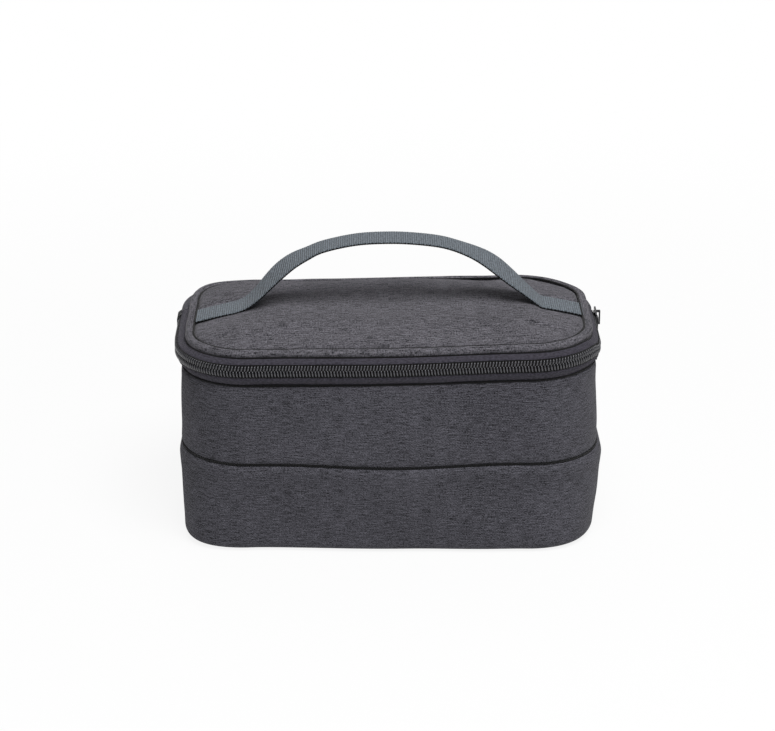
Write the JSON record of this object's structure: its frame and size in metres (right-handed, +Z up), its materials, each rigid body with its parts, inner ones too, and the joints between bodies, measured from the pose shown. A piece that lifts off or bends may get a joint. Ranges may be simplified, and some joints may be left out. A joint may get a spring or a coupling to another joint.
{
  "type": "insulated lunch bag",
  "caption": "Soft box-shaped insulated lunch bag with a padded lid that zips shut, a foil-faced lining and a webbing carry handle over the top.",
  "frame": {"origin": "middle of the underside of the base, where the bag stands", "axes": "+Z up, +X along the width to the right as seen from the front, the front faces -Y"},
  "size_m": [0.2391, 0.1372, 0.1632],
  "materials": {
    "wall_fabric": "heathered charcoal plain weave",
    "lid_fabric": "heathered charcoal plain weave, padded",
    "foam": "closed-cell foam sheet",
    "foil_liner": "foil-faced film, creased",
    "binding": "woven binding tape",
    "zip_tape": "woven zip tape",
    "zip_coil": "glossy black filament coil",
    "webbing": "ribbed blue-grey webbing",
    "slider_metal": "dark painted die-cast metal"
  },
  "bodies": {
    "bag": {"base_cover": "wall_fabric", "lower_wall_cover": "wall_fabric", "upper_wall_cover": "wall_fabric", "base_foam": "foam", "wall_foam": "foam", "base_liner": "foil_liner", "wall_liner": "foil_liner", "mouth_binding": "binding", "zip_tape_lower": "zip_tape", "zip_coil_lower": "zip_coil", "rear_hinge_band": "wall_fabric"},
    "lid": {"lid_cover": "lid_fabric", "lid_foam": "foam", "lid_liner": "foil_liner", "lid_piping": "lid_fabric", "lid_binding": "binding", "zip_tape_upper": "zip_tape", "zip_coil_upper": "zip_coil", "handle_foot_left": "webbing", "handle_foot_right": "webbing"},
    "handle": {"handle_grip": "webbing"},
    "slider": {"zip_slider": "slider_metal"},
    "pull": {"zip_pull": "slider_metal"}
  },
  "joints": [
    {"name": "lid_hinge", "type": "hinge", "parent": "bag", "child": "lid", "pos_m": [0, 0.0651, 0.1084], "axis": [-1, 0, 0], "range_deg": [0, 170], "deforming": ["rear_hinge_band", "zip_coil_lower", "zip_coil_upper"]},
    {"name": "handle_swing", "type": "hinge", "parent": "lid", "child": "handle", "pos_m": [0, -0.001, 0.1213], "axis": [1, 0, 0], "range_deg": [-60, 60], "stiffness_Nm_per_rad": 0.02, "deforming": ["handle_foot_left", "handle_foot_right"]},
    {"name": "slider_run", "type": "slide", "parent": "bag", "child": "slider", "axis": [0, -1, 0], "range_m": [0, 0.036], "deforming": ["zip_coil_lower", "zip_coil_upper"]},
    {"name": "pull_turn", "type": "hinge", "parent": "slider", "child": "pull", "pos_m": [0.11975, 0.018, 0.1084], "axis": [0, -1, 0], "range_deg": [0, 180]}
  ]
}
